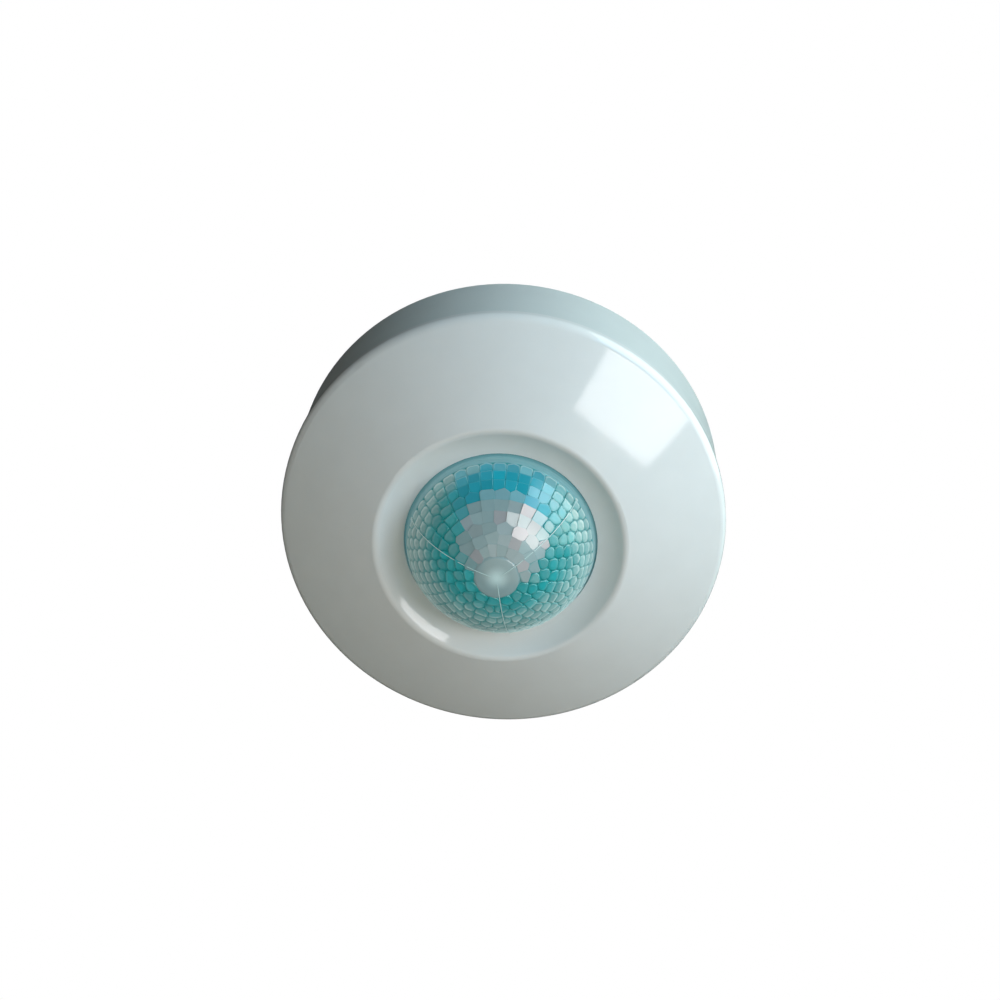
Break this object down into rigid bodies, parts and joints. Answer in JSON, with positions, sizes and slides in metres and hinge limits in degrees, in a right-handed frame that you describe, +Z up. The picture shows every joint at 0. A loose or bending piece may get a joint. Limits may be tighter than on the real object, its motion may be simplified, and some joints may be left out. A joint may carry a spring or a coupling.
{
  "type": "ceiling motion sensor",
  "caption": "Round surface-mounted ceiling motion sensor: screw-on base box, pull-off conical cover and a faceted teal dome lens over an electronics stack.",
  "frame": {"origin": "centre of the base's mounting face, between the two screw slots", "axes": "+Z up into the ceiling, the lens looks down -Z, the screw slots lie along X, the conduit window faces +Y"},
  "size_m": [0.11, 0.11, 0.0553],
  "materials": {
    "cover_plastic": "glossy white ABS",
    "base_plastic": "satin white ABS",
    "lens_plastic": "translucent teal polyethylene, moulded lens cells",
    "rubber_grey": "matt",
    "board_green": "glossy solder mask",
    "bright_steel": "zinc-plated",
    "can_metal": "nickel-plated",
    "aluminium_bare": "satin",
    "sleeve_dark": "shrink sleeve",
    "terminal_green": "moulded polyamide",
    "relay_blue": "sealed case",
    "varistor_blue": "dipped epoxy",
    "chip_black": "moulded epoxy",
    "switch_black": "moulded",
    "trimmer_grey": "moulded",
    "knob_orange": "moulded",
    "dip_red": "moulded",
    "slider_white": "moulded",
    "tower_black": "moulded",
    "filter_dark": "infrared filter",
    "led_red": "tinted lamp",
    "eye_clear": "clear cap"
  },
  "bodies": {
    "base": {"base_shell": "base_plastic", "cable_grommet": "rubber_grey", "conduit_plug": "base_plastic", "main_board": "board_green", "board_screws": "bright_steel", "terminal_block": "terminal_green", "terminal_clamps": "bright_steel", "terminal_screws": "bright_steel", "relay": "relay_blue", "capacitor_cans": "sleeve_dark", "capacitor_vents": "aluminium_bare", "varistor": "varistor_blue", "chip_leads": "bright_steel", "chip_resistors": "chip_black", "controller_chip": "chip_black", "amplifier_chip": "chip_black", "dip_switch_body": "dip_red", "test_button_body": "switch_black", "tamper_switch_body": "switch_black", "sensor_tower": "tower_black", "sensor_board": "board_green", "header_pins": "bright_steel", "header_base": "switch_black", "pyro_windows": "filter_dark", "sector_baffle": "tower_black", "status_led": "led_red", "light_sensor": "eye_clear", "time_trimmer_body": "trimmer_grey", "light_trimmer_body": "trimmer_grey", "range_trimmer_body": "trimmer_grey", "pyro_can_1": "can_metal", "pyro_can_2": "can_metal", "pyro_can_3": "can_metal"},
    "cover": {"front_cover": "cover_plastic", "lens_dome": "lens_plastic", "lens_gasket": "rubber_grey", "lens_retainer": "tower_black", "retainer_screws": "bright_steel"},
    "time_knob": {"time_trimmer_knob": "knob_orange"},
    "light_knob": {"light_trimmer_knob": "knob_orange"},
    "range_knob": {"range_trimmer_knob": "knob_orange"},
    "dip_1": {"dip_slider_1": "slider_white"},
    "dip_2": {"dip_slider_2": "slider_white"},
    "dip_3": {"dip_slider_3": "slider_white"},
    "dip_4": {"dip_slider_4": "slider_white"},
    "test_button": {"test_button_cap": "slider_white"},
    "tamper_switch": {"tamper_plunger": "slider_white"}
  },
  "joints": [
    {"name": "cover_pull", "type": "slide", "parent": "base", "child": "cover", "axis": [0, 0, -1], "range_m": [0, 0.045]},
    {"name": "time_turn", "type": "hinge", "parent": "base", "child": "time_knob", "pos_m": [-0.01405, -0.03477, -0.019], "axis": [0, 0, -1], "range_deg": [-135, 135]},
    {"name": "light_turn", "type": "hinge", "parent": "base", "child": "light_knob", "pos_m": [0.01405, -0.03477, -0.019], "axis": [0, 0, -1], "range_deg": [-135, 135]},
    {"name": "range_turn", "type": "hinge", "parent": "base", "child": "range_knob", "pos_m": [-0.02509, -0.02787, -0.019], "axis": [0, 0, -1], "range_deg": [-135, 135]},
    {"name": "dip_1_slide", "type": "slide", "parent": "base", "child": "dip_1", "axis": [0, -1, 0], "range_m": [0, 0.002]},
    {"name": "dip_2_slide", "type": "slide", "parent": "base", "child": "dip_2", "axis": [0, -1, 0], "range_m": [0, 0.002]},
    {"name": "dip_3_slide", "type": "slide", "parent": "base", "child": "dip_3", "axis": [0, -1, 0], "range_m": [0, 0.002]},
    {"name": "dip_4_slide", "type": "slide", "parent": "base", "child": "dip_4", "axis": [0, -1, 0], "range_m": [0, 0.002]},
    {"name": "test_press", "type": "slide", "parent": "base", "child": "test_button", "axis": [0, 0, 1], "range_m": [0, 0.0003], "stiffness_N_per_m": 1000},
    {"name": "tamper_travel", "type": "slide", "parent": "base", "child": "tamper_switch", "axis": [0, 0, -1], "range_m": [0, 0.002]}
  ],
  "couplings": [
    {"joint": "tamper_travel", "follows": "cover_pull", "ratio": 0.044444}
  ]
}
